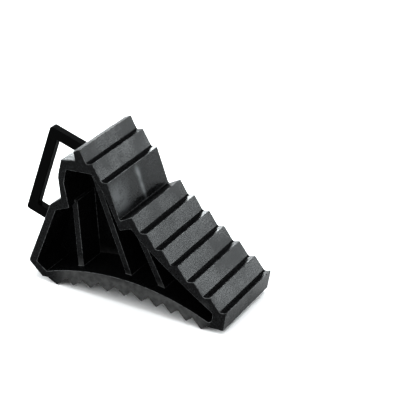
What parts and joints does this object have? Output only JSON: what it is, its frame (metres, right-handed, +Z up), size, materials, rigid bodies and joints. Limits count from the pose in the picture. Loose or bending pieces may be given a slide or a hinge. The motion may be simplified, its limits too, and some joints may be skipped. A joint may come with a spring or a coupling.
{
  "type": "wheel chock",
  "caption": "Black moulded rubber wheel chock: stepped toothed wheel face, arched toothed sole, ribbed hollow sides and a loop handle at the back.",
  "frame": {"origin": "on the ground under the rearmost sole tooth, half way across the chock", "axes": "+X from the handle towards the thin toe that goes under the wheel, Y across the chock, +Z up from the ground"},
  "size_m": [0.2618, 0.1, 0.1604],
  "materials": {
    "body_rubber": "matt black with a fine moulded grain, a faint sheen on the tooth faces",
    "handle_plastic": "smooth satin black"
  },
  "bodies": {
    "root": {"chock_body": "body_rubber", "handle": "handle_plastic"}
  },
  "joints": []
}
